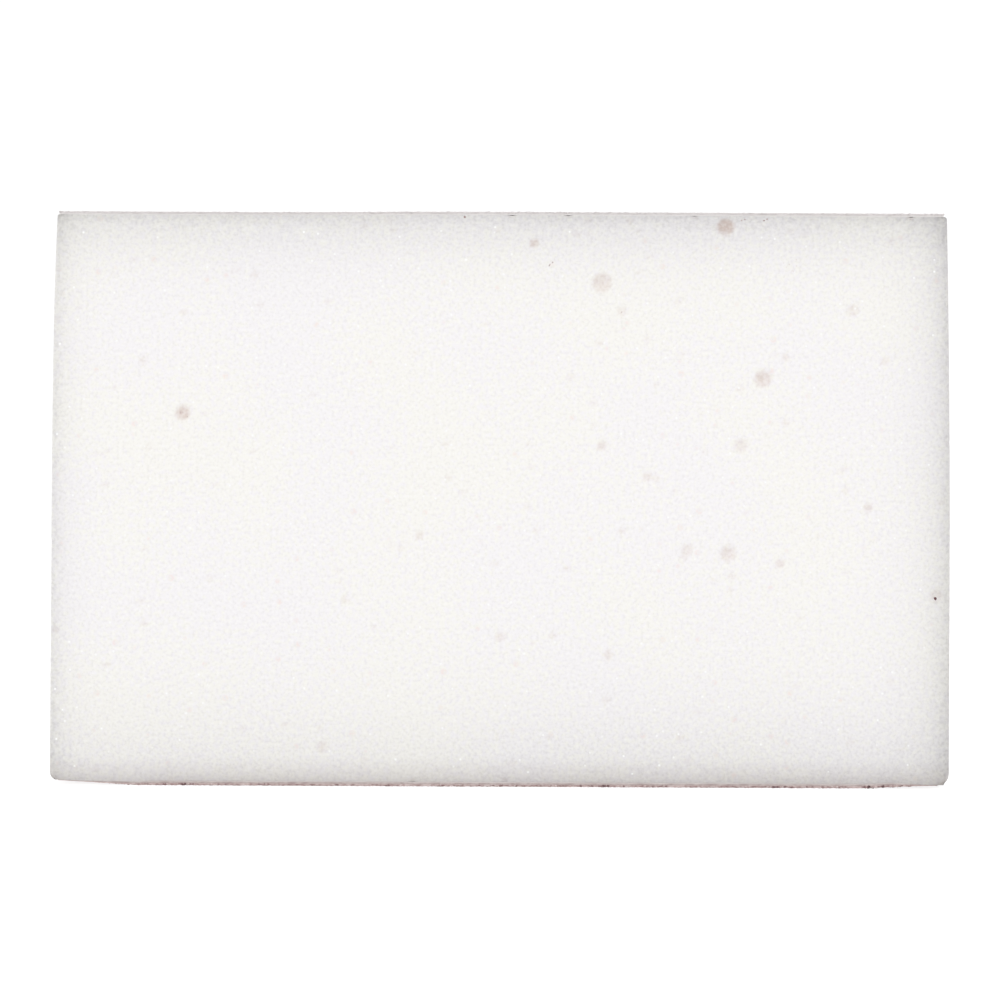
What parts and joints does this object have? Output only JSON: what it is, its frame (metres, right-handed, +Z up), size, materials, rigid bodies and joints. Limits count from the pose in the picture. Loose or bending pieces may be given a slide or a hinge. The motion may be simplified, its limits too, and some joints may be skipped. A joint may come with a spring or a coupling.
{
  "type": "nail buffer block",
  "caption": "Small white foam buffing block with a gritty dark coating on one broad side and a pale fine coating on the opposite side.",
  "frame": {"origin": "middle of the footprint, on the plane that the block stands on (the coarse working face)", "axes": "+X along the block's length, +Y towards its back face, +Z up from the coarse working face to the fine one"},
  "size_m": [0.0396, 0.0254, 0.0254],
  "materials": {
    "foam": "matt white closed-cell polyurethane foam, knife cut, fine cells with scattered round bubbles",
    "sealer": "thin translucent latex sealer",
    "coarse_resin": "mauve-grey resin, semi-matt",
    "coarse_grit": "dark maroon abrasive grains, rough and glinting",
    "fine_resin": "pale pinkish resin, semi-matt",
    "fine_grit": "fine off-white abrasive grains, rough"
  },
  "bodies": {
    "root": {"coarse_grit_coat": "coarse_grit", "coarse_make_coat": "coarse_resin", "coarse_sealer_coat": "sealer", "foam_core": "foam", "fine_sealer_coat": "sealer", "fine_make_coat": "fine_resin", "fine_grit_coat": "fine_grit"}
  },
  "joints": []
}
